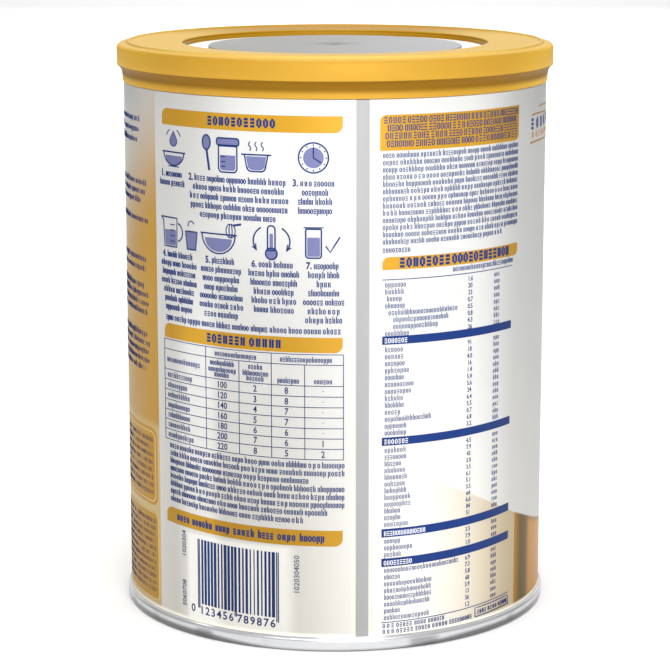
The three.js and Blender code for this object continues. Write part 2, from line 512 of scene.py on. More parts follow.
def wall_material():
    lacquer, ripple = {"Specular_IOR_Level": 0.3}, 0.006 * MM
    return finish_material("printed_tinplate_look", printed_wall, 0.38, 0.05, 0.05, 700.0, ripple, **lacquer)


def tinplate_material():
    return finish_material("bare_tinplate_look", brushed_plate, 0.16, 0.08, 0.1, 300.0, 0.01 * MM)


def gold_plastic_material():
    tint = {"Specular_Tint": (1.0, 0.84, 0.46, 1.0), "Specular_IOR_Level": 0.28}
    return finish_material("gold_plastic_look", pearl_gold, 0.52, 0.05, 0.05, 1600.0, 0.008 * MM, **tint)


def white_plastic_material():
    shade = bpy.context.scene.tin_colours.white_plastic
    return finish_material("white_plastic_look", shade, 0.4, 0.05, 0.05, 1500.0, 0.01 * MM)


def grey_plastic_material():
    return finish_material("grey_plastic_look", disc_grey, 0.42, 0.08, 0.08, 1300.0, 0.012 * MM)


# Geometry Nodes trees


@kept("turned_body")
def turning_tree(name):
    """Turns a profile, drawn as radius and height, into a closed body about the Z axis."""
    inputs = {"Geometry": "Geometry", "Segments": 96, "Material": "Material"}
    tree, inlet, out = new_group(name, "GeometryNodeTree", inputs, {"Geometry": "Geometry"})
    profile, segments = inlet.outputs["Geometry"], inlet.outputs["Segments"]
    count = put(tree, "GeometryNodeAttributeDomainSize", {0: profile}).outputs["Point Count"]
    columns = plus(tree, segments, 1)
    grid = put(tree, "GeometryNodeMeshGrid", {"Vertices X": columns, "Vertices Y": count})
    index = node(tree, "GeometryNodeInputIndex")
    column = maths(tree, "FLOOR", maths(tree, "DIVIDE", plus(tree, index, 0.5), count))
    row = minus(tree, index, times(tree, column, count))
    spot = node(tree, "GeometryNodeInputPosition")
    inputs = {"Geometry": profile, "Value": spot, "Index": row}
    sample = node(tree, "GeometryNodeSampleIndex", inputs, data_type="FLOAT_VECTOR")
    radius_height = put(tree, "ShaderNodeSeparateXYZ", {0: sample}).outputs
    turn = times(tree, maths(tree, "DIVIDE", column, segments), FULL_TURN)
    across = times(tree, radius_height["X"], maths(tree, "SINE", turn))
    cosine = times(tree, maths(tree, "COSINE", turn), -1.0)
    depth = times(tree, radius_height["X"], cosine)
    place = node(tree, "ShaderNodeCombineXYZ", {0: across, 1: depth, 2: radius_height["Z"]})
    mapped = {"Geometry": grid.outputs["Mesh"], "Name": "UVMap", "Value": grid.outputs["UV Map"]}
    named = node(tree, "GeometryNodeStoreNamedAttribute", mapped, data_type="FLOAT2", domain="CORNER")
    bent = node(tree, "GeometryNodeSetPosition", {"Geometry": named, "Position": place})
    closed = node(tree, "GeometryNodeMergeByDistance", {"Geometry": bent, "Distance": 0.002 * MM})
    realize_and_ink(tree, inlet, out, closed)
    return tree


def realize_and_ink(tree, inlet, out, shape):
    """Ends a tree: realizes its shape and sets its material."""
    plain = node(tree, "GeometryNodeRealizeInstances", {0: shape})
    inked = {"Geometry": plain, "Material": inlet.outputs["Material"]}
    tree.links.new(node(tree, "GeometryNodeSetMaterial", inked), out.inputs["Geometry"])


WALL_INPUTS = {
    "Wall radius": 63.5 * MM,
    "Flare": 0.45 * MM,
    "Flare top": 6.4 * MM,
    "Flare foot": 4.4 * MM,
    "Top": 0.05 * MM,
    "Sink": 0.03 * MM,
    "Rise": 1.1 * MM,
}


@kept("bend_onto_wall")
def bending_tree(name):
    """Bends flat print, drawn as way round and height, onto the wall; what is above 0 stands on it."""
    inputs = {"Geometry": "Geometry", **WALL_INPUTS}
    tree, inlet, out = new_group(name, "GeometryNodeTree", inputs, {"Geometry": "Geometry"})
    given = inlet.outputs
    flat = put(tree, "ShaderNodeSeparateXYZ", {0: node(tree, "GeometryNodeInputPosition")}).outputs
    flare = ramp(tree, flat["Y"], given["Flare top"], given["Flare foot"], end=given["Flare"])
    above = maths(tree, "GREATER_THAN", flat["Z"], 0.0)
    lift = minus(tree, times(tree, above, plus(tree, given["Top"], given["Sink"])), given["Sink"])
    radius = plus(tree, given["Wall radius"], flare, lift)
    turn = maths(tree, "DIVIDE", flat["X"], given["Wall radius"])
    across = times(tree, radius, maths(tree, "SINE", turn))
    depth = times(tree, radius, maths(tree, "COSINE", turn), -1.0)
    away = maths(tree, "DIVIDE", maths(tree, "ABSOLUTE", flat["X"]), 50 * MM)
    inner = ramp(tree, away, 1.2, 1.23, False, 1.0, 0.0)
    low = ramp(tree, flat["Y"], 26 * MM, 92 * MM, False, 1.0, 0.0)
    share = times(tree, low, given["Rise"], times(tree, inner, times(tree, away, away)))
    up = plus(tree, flat["Y"], share)
    place = node(tree, "ShaderNodeCombineXYZ", {0: across, 1: depth, 2: up})
    inputs = {"Geometry": given["Geometry"], "Position": place}
    tree.links.new(node(tree, "GeometryNodeSetPosition", inputs), out.inputs["Geometry"])
    return tree


def bend_and_ink(tree, inlet, out, flat):
    """Ends a print tree: bends its flat geometry, realizes it and sets its material."""
    bend = put(tree, "GeometryNodeGroup", {"Geometry": flat}, node_tree=bending_tree())
    for label in WALL_INPUTS:
        tree.links.new(inlet.outputs[label], bend.inputs[label])
    realize_and_ink(tree, inlet, out, bend.outputs[0])


def print_tree_start(name, more=None):
    """A print tree's sockets: its drawing, the wall's sizes, its material, and any of its own."""
    inputs = {"Geometry": "Geometry", **WALL_INPUTS, "Material": "Material", **(more or {})}
    return new_group(name, "GeometryNodeTree", inputs, {"Geometry": "Geometry"})


@kept("ink_fields")
def field_tree(name):
    """Flat faces become thin closed fields of ink on the wall."""
    tree, inlet, out = print_tree_start(name)
    faces = inlet.outputs["Geometry"]
    inputs = {"Mesh": faces, "Offset Scale": 1 * MM, "Individual": False}
    raised = put(tree, "GeometryNodeExtrudeMesh", inputs, mode="FACES").outputs["Mesh"]
    under = node(tree, "GeometryNodeFlipFaces", {0: faces})
    both = tree.nodes.new("GeometryNodeJoinGeometry")
    tree.links.new(raised, both.inputs[0])
    tree.links.new(under, both.inputs[0])
    joined = {"Geometry": both.outputs[0], "Distance": 0.0005 * MM}
    bend_and_ink(tree, inlet, out, node(tree, "GeometryNodeMergeByDistance", joined))
    return tree


@kept("ink_lines")
def line_tree(name):
    """Drawn lines become thin closed ribbons on the wall, as wide as each line's own ink_width."""
    tree, inlet, out = print_tree_start(name)
    wide = node(tree, "GeometryNodeInputNamedAttribute", {"Name": "ink_width"}, data_type="FLOAT")
    curve = node(tree, "GeometryNodeMeshToCurve", {"Mesh": inlet.outputs["Geometry"]})
    level = node(tree, "GeometryNodeSetCurveNormal", {"Curve": curve}, mode="Z_UP")
    nib = node(tree, "GeometryNodeCurvePrimitiveQuadrilateral", {"Width": 1.0, "Height": 0.2})
    inputs = {"Curve": level, "Profile Curve": nib, "Scale": wide, "Fill Caps": True}
    ribbon = node(tree, "GeometryNodeCurveToMesh", inputs)
    bend_and_ink(tree, inlet, out, ribbon)
    return tree


# Each kind of mark is a few blocks: width, height, middle across, middle up, in mark heights
RING = [(0.21, 0.70, -0.23, 0.50), (0.21, 0.70, 0.23, 0.50)]
RING += [(0.34, 0.18, 0.0, 0.91), (0.34, 0.18, 0.0, 0.09)]
RUNGS = [(0.62, 0.19, 0.0, 0.90), (0.62, 0.19, 0.0, 0.50), (0.62, 0.19, 0.0, 0.10)]
PAIR = [(0.21, 1.0, -0.19, 0.50), (0.21, 1.0, 0.19, 0.50)]
STEP = [(0.21, 1.40, -0.18, 0.70), (0.21, 1.0, 0.20, 0.50)]
DROP = [(0.21, 1.34, -0.18, 0.33), (0.21, 1.0, 0.20, 0.50)]
MARKS = {
    "small_marks": [RING, PAIR, STEP, RING, PAIR, RUNGS, RING, STEP, PAIR, DROP],
    "level_marks": [RING, PAIR, RUNGS, PAIR, RING, RUNGS],
}


# A mark's width for its height, and the share of their given pitch at which marks are set
MARK_WIDTH, MARK_SPACING = 0.84, 0.86


def even_points(tree, inlet):
    """Points at an even pitch along the drawn edges."""
    curve = node(tree, "GeometryNodeMeshToCurve", {"Mesh": inlet.outputs["Geometry"]})
    inputs = {"Curve": curve, "Length": inlet.outputs["Pitch"]}
    return node(tree, "GeometryNodeResampleCurve", inputs, mode="LENGTH")


def mark_tree(name, kinds):
    """Sets small plain marks along each drawn edge, by a seeded draw, and bends them onto the wall."""
    if name in bpy.data.node_groups:
        return bpy.data.node_groups[name]
    own = {"Mark height": 1 * MM, "Pitch": 0.8 * MM, "Weight": 1.0, "Seed": 0}
    tree, inlet, out = print_tree_start(name, own)
    points = even_points(tree, inlet)
    shapes = tree.nodes.new("GeometryNodeJoinGeometry")
    for blocks in kinds:
        kind = tree.nodes.new("GeometryNodeJoinGeometry")
        for width, height, across, up in blocks:
            thick = times(tree, min(width, height), inlet.outputs["Weight"])
            sides = (thick, height) if width < height else (width, thick)
            size = node(tree, "ShaderNodeCombineXYZ", {0: sides[0], 1: sides[1], 2: 1 * MM})
            block = put(tree, "GeometryNodeMeshCube", {"Size": size}).outputs["Mesh"]
            inputs = {"Geometry": block, "Translation": (across, up, 0.0)}
            tree.links.new(node(tree, "GeometryNodeTransform", inputs), kind.inputs[0])
        single = node(tree, "GeometryNodeGeometryToInstance", {0: kind.outputs[0]})
        tree.links.new(single, shapes.inputs[0])
    pick = {4: 0, 5: len(kinds) - 1, "Seed": inlet.outputs["Seed"]}
    draw = put(tree, "FunctionNodeRandomValue", pick, data_type="INT")
    tall = inlet.outputs["Mark height"]
    scale = node(tree, "ShaderNodeCombineXYZ", {0: times(tree, tall, MARK_WIDTH), 1: tall, 2: 1.0})
    inputs = {"Points": points, "Instance": shapes.outputs[0], "Pick Instance": True, "Scale": scale}
    placed = node(tree, "GeometryNodeInstanceOnPoints", {**inputs, "Instance Index": draw.outputs[2]})
    solid = node(tree, "GeometryNodeRealizeInstances", {0: placed})
    bend_and_ink(tree, inlet, out, solid)
    return tree


@kept("bar_row")
def bar_tree(name):
    """A row of upright bars at an even pitch, each as wide as a seeded draw makes it."""
    own = {"Pitch": 0.9 * MM, "Thinnest": 0.2 * MM, "Thickest": 0.7 * MM, "Bar height": 20 * MM, "Seed": 0}
    tree, inlet, out = print_tree_start(name, own)
    points = even_points(tree, inlet)
    draw = {2: inlet.outputs["Thinnest"], 3: inlet.outputs["Thickest"], "Seed": inlet.outputs["Seed"]}
    wide = put(tree, "FunctionNodeRandomValue", draw, data_type="FLOAT").outputs[1]
    size = node(tree, "ShaderNodeCombineXYZ", {0: 1.0, 1: inlet.outputs["Bar height"], 2: 1 * MM})
    bar = put(tree, "GeometryNodeMeshCube", {"Size": size}).outputs["Mesh"]
    scale = node(tree, "ShaderNodeCombineXYZ", {0: wide, 1: 1.0, 2: 1.0})
    inputs = {"Points": points, "Instance": bar, "Scale": scale}
    placed = node(tree, "GeometryNodeInstanceOnPoints", inputs)
    solid = node(tree, "GeometryNodeRealizeInstances", {0: placed})
    bend_and_ink(tree, inlet, out, solid)
    return tree


# Making pieces


def new_object(name, data):
    """An object in the scene, at the origin."""
    made = bpy.data.objects.new(name, data)
    bpy.context.scene.collection.objects.link(made)
    return made


def apply_tree(name, mesh, tree, values):
    """Runs a Geometry Nodes tree on a drawing and keeps its result as the piece's own plain mesh."""
    piece = new_object(name, mesh)
    modifier = piece.modifiers.new("Making", "NODES")
    modifier.node_group = tree
    for socket in tree.interface.items_tree:
        if socket.item_type == "SOCKET" and socket.in_out == "INPUT" and socket.name in values:
            modifier[socket.identifier] = values[socket.name]
    depsgraph = bpy.context.evaluated_depsgraph_get()
    evaluated = piece.evaluated_get(depsgraph)
    result = bpy.data.meshes.new_from_object(evaluated, preserve_all_data_layers=True, depsgraph=depsgraph)
    piece.modifiers.clear()
    piece.data = result
    bpy.data.meshes.remove(mesh)
    result.name = name
    result.materials.clear()
    result.materials.append(values["Material"])
    result.polygons.foreach_set("material_index", [0] * len(result.polygons))
    if not result.polygons:
        raise RuntimeError(f"{name}: the tree made no faces")
    return piece


def shade(piece, sharp_angle):
    """Smooth faces, with edges over the angle left sharp."""
    piece.data.shade_smooth()
    piece.data.set_sharp_from_angle(angle=math.radians(sharp_angle))


def check_closed(piece):
    """Stops if a piece is open or inside out."""
    body = bmesh.new()
    body.from_mesh(piece.data)
    open_edges = sum(len(edge.link_faces) < 2 for edge in body.edges)
    volume = body.calc_volume(signed=True)
    body.free()
    if open_edges or volume <= 0:
        raise RuntimeError(f"{piece.name}: {open_edges} open edges, volume {volume:g}")


def ride(piece, slot, *nodes):
    """Puts a piece on the tin and hides the solids that it stands for; its slot is not used."""
    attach(piece, "root")
    if nodes:
        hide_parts(*nodes)


class Profile:
    """A turned piece's outline as radius and height, in metres, drawn in millimetres."""

    def __init__(self):
        self.points = []

    def to(self, *spots):
        """Straight lines to each spot."""
        self.points += [(radius * MM, 0.0, height * MM) for radius, height in spots]
        return self

    def round(self, middle_radius, middle_height, corner, start, end, steps=6):
        """An arc, with its start and end in degrees, anticlockwise from outward."""
        for step in range(steps + 1):
            angle = math.radians(start + (end - start) * step / steps)
            self.to((middle_radius + corner * math.cos(angle), middle_height + corner * math.sin(angle)))
        return self

    def ease(self, radius, height, steps=8):
        """A soft S-shaped run from the last spot, level with the axis at both ends."""
        first_radius, _, first_height = (v / MM for v in self.points[-1])
        for step in range(1, steps + 1):
            share = step / steps
            smooth = share * share * (3 - 2 * share)
            across = first_radius + (radius - first_radius) * smooth
            self.to((across, first_height + (height - first_height) * share))
        return self

    def wave(self, middle, width, depth, steps=10):
        """A rounded groove or bead across a flat run, from one side of its middle to the other."""
        base = self.points[-1][2] / MM
        for step in range(steps + 1):
            share = step / steps
            self.to((middle + width * (share - 0.5), base + depth * math.sin(math.pi * share) ** 2))
        return self

    def mesh(self, name):
        """The outline as a line of edges, in order."""
        made = bpy.data.meshes.new(name)
        made.from_pydata(self.points, [(i, i + 1) for i in range(len(self.points) - 1)], [])
        return made


def turned(name, profile, material, sharp_angle, slot, solid):
    """A turned piece that stands for one of the solids."""
    values = {"Segments": bpy.context.scene.tin_sizes.segments, "Material": material}
    piece = apply_tree(name, profile.mesh(name), turning_tree(), values)
    check_closed(piece)
    shade(piece, sharp_angle)
    ride(piece, slot, solid)


def in_mm(value):
    return value / MM


class TIN_OT_wall(bpy.types.Operator):
    """Make the printed wall"""

    bl_idname = "tin.wall"
    bl_label = "Printed wall"

    def execute(self, context):
        sizes = context.scene.tin_sizes
        foot, top = in_mm(BODY_LOW.z), in_mm(BODY_HIGH.z)
        under_lid = in_mm(LID_LOW.z) - 0.15
        radius, flare, neck = map(in_mm, (sizes.wall_radius, sizes.flare_radius, sizes.neck_radius))
        outline = Profile().to((0, foot - 0.2), (flare, foot - 0.2), (flare, foot + 0.2))
        outline.ease(radius, in_mm(sizes.flare_top))
        straight = in_mm(sizes.flare_top)
        for share in range(1, 12):
            outline.to((radius, straight + (under_lid - straight) * share / 12))
        outline.round(radius - 0.2, under_lid - 0.2, 0.2, 0, 90, 4)
        outline.to((neck + 0.1, under_lid), (neck, under_lid + 0.1))
        outline.to((neck, top - 0.3), (neck - 0.3, top), (0, top))
        turned("wall", outline, wall_material(), 40, "printed_tinplate", "tin_body")
        return {"FINISHED"}


class TIN_OT_seam(bpy.types.Operator):
    """Make the rolled seam and the bottom end"""

    bl_idname = "tin.seam"
    bl_label = "Seam and bottom end"

    def execute(self, context):
        seam, top = in_mm(SEAM_HIGH.x), in_mm(SEAM_HIGH.z)
        # Height of the sunk panel's underside
        flat = 3.2
        outline = Profile().to((0, flat - 0.6), (35.6, flat - 0.6)).ease(36.8, flat, 6)
        for middle in (42.5, 49.5, 56.5):
            outline.to((middle - 2.2, flat)).wave(middle, 4.4, -0.8)
        outline.to((60.6, flat)).round(60.6, flat - 0.7, 0.7, 90, 20, 4)
        outline.to((62.05, 0.7)).round(62.75, 0.5, 0.5, 200, 270, 4)
        outline.to((63.0, 0.0)).round(seam - 0.7, 0.7, 0.7, -90, 0, 8)
        outline.to((seam + 0.02, 1.3), (seam + 0.02, 2.1)).round(seam - 0.56, 2.96, 0.56, 0, 78, 8)
        outline.to((63.86, 3.53), (63.79, 3.62), (63.77, 3.85), (63.73, 4.05), (63.66, 4.18), (63.5, 4.28))
        outline.to((62.8, top + 0.1), (0, top - 0.05))
        turned("seam_and_base", outline, tinplate_material(), 50, "bare_tinplate", "bottom_end")
        return {"FINISHED"}


class TIN_OT_overcap(bpy.types.Operator):
    """Make the gold overcap"""

    bl_idname = "tin.overcap"
    bl_label = "Overcap"

    def execute(self, context):
        skirt, foot, crest = in_mm(LID_HIGH.x), in_mm(LID_LOW.z), in_mm(LID_HIGH.z)
        floor, beside = in_mm(PANEL_HIGH.z), in_mm(PANEL_HIGH.x) + 0.1
        under = in_mm(PANEL_LOW.z)
        inside = in_mm(context.scene.tin_sizes.neck_radius) + 0.25
        outline = Profile().to((inside, foot + 0.1), (inside + 0.1, foot), (skirt - 1.95, foot))
        outline.round(skirt - 1.95, foot + 0.3, 0.3, -90, 0, 5)

        # Lip and cone, as millimetres in from the skirt and up from the foot
        cone = [(1.65, 1.0), (1.62, 1.8), (1.52, 2.5), (1.34, 3.2), (1.06, 3.8), (0.7, 4.3), (0.3, 4.68)]
        cone += [(0.08, 4.84), (0.01, 5.0), (0, 7.5)]
        outline.to(*((skirt - back, foot + up) for back, up in cone))

        # Shoulder, as millimetres in from the skirt and down from the crest
        shoulder = [(0, 2.1), (0.06, 1.7), (0.2, 1.36), (0.45, 1.06), (0.8, 0.85), (1.3, 0.72), (2.0, 0.65)]
        shoulder.append((2.7, 0.62))
        outline.to(*((skirt - back, crest - down) for back, down in shoulder))

        # Stacking rib, flat ring, rounded rim of the opening, and the ledge under it
        outline.to((62.62, crest - 0.5), (62.5, crest - 0.2)).round(62.2, crest - 0.28, 0.28, 10, 90, 4)
        outline.to((61.8, crest)).round(61.75, crest - 0.28, 0.28, 90, 170, 4)
        ring = [(61.4, 0.35), (61.25, 0.5), (61.0, 0.55), (54.0, 0.56), (46.3, 0.55)]
        outline.to(*((radius, crest - down) for radius, down in ring))
        outline.round(46.3, crest - 1.15, 0.6, 90, 180, 6)
        ledge = [(45.7, 1.3), (45.64, 1.38), (45.3, 1.42), (45.2, 1.5)]
        outline.to(*((radius, crest - down) for radius, down in ledge))
        outline.to((44.98, floor + 0.25), (44.9, floor - 0.02), (beside, floor - 0.02), (beside, under))
        outline.to((inside, under), (inside, foot + 0.1))
        turned("overcap", outline, gold_plastic_material(), 42, "gold_plastic", "lid")
        return {"FINISHED"}


class TIN_OT_centre(bpy.types.Operator):
    """Make the white panel and the grey disc sunk in the overcap"""

    bl_idname = "tin.centre"
    bl_label = "Panel and disc"

    def execute(self, context):
        low, high, rim = in_mm(PANEL_LOW.z), in_mm(PANEL_HIGH.z), in_mm(PANEL_HIGH.x)
        panel = Profile().to((0, low), (rim, low), (rim, high))
        dish = [(44.0, 0), (41.5, 0.01), (39.4, 0.05), (38.6, 0.12), (0, 0.12)]
        panel.to(*((radius, high - down) for radius, down in dish))
        turned("overcap_panel", panel, white_plastic_material(), 50, "white_plastic", "lid_panel")
        edge, top = in_mm(DISC_HIGH.x), in_mm(DISC_HIGH.z)
        disc = Profile().to((0, high - 0.3), (edge, high - 0.3), (edge, top - 0.22))
        disc.round(edge - 0.22, top - 0.22, 0.22, 0, 90, 5)
        disc.to((30.0, top - 0.01), (12.0, top - 0.02), (2.0, top - 0.02)).ease(1.4, top - 0.3, 5)
        disc.to((0.7, top - 0.3)).ease(0.35, top - 0.08, 4).to((0, top - 0.06))
        turned("overcap_disc", disc, grey_plastic_material(), 45, "grey_plastic", "centre_disc")
        return {"FINISHED"}


# Flat print, drawn in millimetres: across is the way round the wall from the front, up is the height


def arc(middle, radius, start, end, steps=12):
    """Points of an arc, in degrees anticlockwise; radius may be one number or across and up."""
    wide, tall = radius if isinstance(radius, tuple) else (radius, radius)
    angles = [math.radians(start + (end - start) * step / steps) for step in range(steps + 1)]
    return [(middle[0] + wide * math.cos(a), middle[1] + tall * math.sin(a)) for a in angles]


def rounded(left, low, right, high, corners, steps=6):
    """A rectangle's outline with its corner radii from low left, anticlockwise."""
    signs = [(1, 1, 180), (-1, 1, 270), (-1, -1, 0), (1, -1, 90)]
    spots = [(left, low), (right, low), (right, high), (left, high)]
    outline = []
    for (x, y), (dx, dy, start), corner in zip(spots, signs, corners):
        if corner:
            outline += arc((x + dx * corner, y + dy * corner), corner, start, start + 90, steps)
        else:
            outline.append((x, y))
    return outline


def cut_for_bending(body, chord):
    """Cuts flat faces into upright strips, so that they follow the wall, and splits them to triangles."""
    bmesh.ops.triangulate(body, faces=body.faces)
    spots = [v.co.x for v in body.verts]
    first, last = math.floor(min(spots) / chord) + 1, math.ceil(max(spots) / chord)
    cuts = [((step * chord, 0, 0), (1, 0, 0)) for step in range(first, last)]
    cuts += [((0, height * MM, 0), (0, 1, 0)) for height in FLARE_CUTS]
    for spot, way in cuts:
        parts = body.verts[:] + body.edges[:] + body.faces[:]
        bmesh.ops.bisect_plane(body, geom=parts, dist=1e-8, plane_co=spot, plane_no=way)
    bmesh.ops.triangulate(body, faces=body.faces)
    body.normal_update()


def wall_values(top_height, material):
    """The inputs that every print tree takes."""
    sizes, inks = bpy.context.scene.tin_sizes, bpy.context.scene.tin_print
    return {
        "Wall radius": sizes.wall_radius,
        "Flare": sizes.flare_radius - sizes.wall_radius,
        "Flare top": sizes.flare_top,
        "Flare foot": BODY_LOW.z + 0.2 * MM,
        "Top": top_height,
        "Sink": inks.sink,
        "Rise": inks.rise,
        "Material": material,
    }


def lay_fields(name, outlines, top_height, material, slot, extra=None):
    """Filled outlines on the wall; extra adds flat faces of its own."""
    body = bmesh.new()
    for outline in outlines:
        body.faces.new([body.verts.new((x * MM, y * MM, 0.0)) for x, y in outline])
    if extra:
        extra(body)
    cut_for_bending(body, bpy.context.scene.tin_print.chord)
    for face in body.faces:
        if face.normal.z < 0:
            face.normal_flip()
    mesh = bpy.data.meshes.new(name)
    body.to_mesh(mesh)
    body.free()
    piece = apply_tree(name, mesh, field_tree(), wall_values(top_height, material))
    check_closed(piece)
    ride(piece, slot)


def lay_lines(name, lines, top_height, material, slot):
    """Lines of ink on the wall; each line is its width and its points."""
    spots, edges, widths = [], [], []
    longest, longest_low = 2.0, 0.3
    for width, points in lines:
        first = len(spots)
        for start, end in zip(points, points[1:]):
            across, up = end[0] - start[0], end[1] - start[1]
            low = min(start[1], end[1]) < FLARE_CUTS[-1]
            pieces = max(1, math.ceil(max(abs(across) / longest, abs(up) / longest_low if low else 0)))
            for step in range(pieces):
                share = step / pieces
                spots.append((start[0] + across * share, start[1] + up * share))
        spots.append(points[-1])
        widths += [width * MM] * (len(spots) - first)
        edges += [(i, i + 1) for i in range(first, len(spots) - 1)]
    mesh = bpy.data.meshes.new(name)
    mesh.from_pydata([(x * MM, y * MM, 0.0) for x, y in spots], edges, [])
    mesh.attributes.new("ink_width", "FLOAT", "POINT").data.foreach_set("value", widths)
    piece = apply_tree(name, mesh, line_tree(), wall_values(top_height, material))
    check_closed(piece)
    ride(piece, slot)


def lay_marks(name, words, height, pitch, top_height, material, slot, kind="small_marks", weight=1.0):
    """Rows of small plain marks; each word is its left, right and base."""
    spots = [spot for left, right, base in words for spot in ((left, base), (right, base))]
    mesh = bpy.data.meshes.new(name)
    flat = [(x * MM, y * MM, 0.0) for x, y in spots]
    mesh.from_pydata(flat, [(i, i + 1) for i in range(0, len(spots), 2)], [])
    own = {"Mark height": height * MM, "Pitch": MARK_SPACING * pitch * MM, "Weight": weight}
    own["Seed"] = bpy.context.scene.tin_print.seed
    own.update(wall_values(top_height, material))
    piece = apply_tree(name, mesh, mark_tree(kind, MARKS[kind]), own)
    ride(piece, slot)


class Words:
    """Splits runs of print into words of uneven length, by a seeded draw."""

    def __init__(self, seed, shortest, longest, gap):
        self.draw = random.Random(seed)
        self.shortest, self.longest, self.gap = shortest, longest, gap
        self.list = []

    def run(self, left, right, base):
        """Words from left to right; the last ends at right."""
        at = left
        while right - at > self.shortest:
            end = at + self.draw.uniform(self.shortest, self.longest)
            if right - end < self.shortest + self.gap:
                end = right
            self.list.append((at, end, base))
            at = end + self.gap
        return self

    def centred(self, middle, top, pitch, widths):
        """Lines of the given widths under each other, about one middle."""
        for row, width in enumerate(widths):
            self.run(middle - width / 2, middle + width / 2, top - pitch * row)
        return self

    def block(self, left, right, top, pitch, rows, last=None):
        """Full lines under each other; the last one may end early."""
        for row in range(rows):
            end = last if last is not None and row == rows - 1 else right
            self.run(left, end, top - pitch * row)
        return self


def add_digits(body, text, middle, base, height, narrow=0.86, turn=0.0, bold=0.012):
    """Adds plain figures as flat faces, centred on middle, with their feet on base."""
    curve = bpy.data.curves.new("figures", "FONT")
    curve.body = text
    curve.align_x = "CENTER"
    curve.resolution_u = 2
    curve.offset = bold
    holder = new_object("figures", curve)
    flat = bpy.data.meshes.new_from_object(holder.evaluated_get(bpy.context.evaluated_depsgraph_get()))
    tall = max(v.co.y for v in flat.vertices)
    scale = height * MM / tall
    size = Matrix.Diagonal((scale * narrow, scale, 1.0, 1.0))
    place = Matrix.Translation((middle * MM, base * MM, 0.0)) @ Matrix.Rotation(turn, 4, "Z") @ size
    flat.transform(place)
    body.from_mesh(flat)
    bpy.data.objects.remove(holder)
    bpy.data.curves.remove(curve)
    bpy.data.meshes.remove(flat)


# Layout of the print, in millimetres; a caption is its figure's place, middle, first base and line widths
CAPTIONS = [
    (-56.7, -52.6, 135.3, [8.2, 10.2]),
    (-44.6, -29.0, 135.2, [29.4, 28.5, 31.0, 30.5, 23.5]),
    (-11.2, -5.6, 135.2, [10.0, 6.6, 8.8, 8.8]),
    (-56.4, -50.3, 111.9, [11.2, 14.4, 13.4, 14.4, 12.2, 11.4, 10.6]),
    (-38.6, -34.2, 111.9, [8.4, 12.8, 11.6, 10.6, 13.8, 14.0, 10.6]),
    (-23.4, -17.6, 111.9, [10.6, 14.2, 13.0, 11.0, 12.4, 11.0]),
    (-7.4, -3.2, 111.9, [7.6, 8.0, 3.2, 8.0, 10.8, 8.2, 9.6]),
]
FLARE_CUTS = [4.6, 4.9, 5.2, 5.5, 5.8, 6.1, 6.4]
LEFT_EDGE, LEFT_END = -56.8, 2.2
RIGHT_EDGE, RIGHT_END = 13.4, 62.7
RULE_END = 59.8
TABLE_COLUMNS = [-57.0, -39.6, -28.3, -18.3, -8.6, 2.4]
TABLE_ROWS = [78.3, 75.2, 72.1, 69.1, 66.0, 63.0, 60.0, 56.9]
BLUE_BARS = [(90.0, 92.4, 7.0), (60.6, 63.0, 7.4), (33.5, 36.0, 13.0), (24.7, 27.2, 8.8)]
ROW_BLOCKS = [(106.9, 8, 2.0), (88.3, 13, 2.02), (59.0, 12, 1.99), (32.1, 3, 2.0), (23.4, 8, 2.03)]


class TIN_OT_gold_fields(bpy.types.Operator):
    """Print the gold bars and boxes"""

    bl_idname = "tin.gold_fields"
    bl_label = "Gold bars and boxes"

    def execute(self, context):
        bars = [(150.1, 154.8), (87.9, 92.3), (31.3, 36.0)]
        shapes = [rounded(LEFT_EDGE, low, LEFT_END, high, (0, 2.3, 0, 2.3)) for low, high in bars]
        shapes.append(rounded(12.6, 145.0, RIGHT_END, 155.0, (0, 1.8, 0, 1.8)))
        shapes.append(rounded(RIGHT_EDGE, 111.4, RIGHT_END, 115.0, (0, 1.8, 0, 1.8)))
        lay_fields("gold_fields", shapes, *ink("gold", "field"))
        upper = rounded(-92.0, 35.4, -61.9, 59.0, (3, 3, 3, 3))
        lower = rounded(-92.0, 6.4, -61.8, 33.2, (3, 1.6, 2.4, 3))
        lay_fields("side_boxes", [upper, lower], *ink("gold", "field"))
        seal = [
            (0.5, [(71.6, 151.2), (76.0, 151.3), (96.0, 150.6)]),
            (0.45, [(78.0, 153.2), (82.0, 153.3), (96.0, 152.9)]),
            (0.5, [(70.6, 143.0), (75.0, 143.2), (96.0, 142.9)]),
        ]
        lay_lines("seal_lines", seal, *ink("gold"))
        lay_marks("seal_marks", [(72.6, 94.0, 144.5)], 1.8, 3.4, *ink("gold"), weight=1.3)
        lay_marks("seal_row", [(72.2, 94.0, 147.0)], 3.1, 4.6, *ink("blue"), "level_marks", 1.4)
        inner = rounded(-91.0, 36.5, -63.0, 57.8, (3, 2.4, 2.4, 3))
        lines = [(0.35, shape + shape[:2]) for shape in (inner, lower)]
        lay_lines("side_outlines", lines, *ink("cream", "top"))
        return {"FINISHED"}


class TIN_OT_blue_fields(bpy.types.Operator):
    """Print the blue bars and the white marks on them"""

    bl_idname = "tin.blue_fields"
    bl_label = "Blue bars"

    def execute(self, context):
        inks = context.scene.tin_print
        shapes = [rounded(RIGHT_EDGE, low, RULE_END, high, (0, 0, 0, 0)) for low, high, _ in BLUE_BARS]
        lay_fields("blue_bars", shapes, *ink("blue", "field"))
        words = Words(inks.seed, 5.0, 9.0, 0.9)
        for low, _, wide in BLUE_BARS:
            words.run(RIGHT_EDGE + 1.1, RIGHT_EDGE + wide, low + 0.42)
        lay_marks("bar_marks", words.list, 1.4, 1.05, *ink("white", "top"), "level_marks", 0.8)
        return {"FINISHED"}


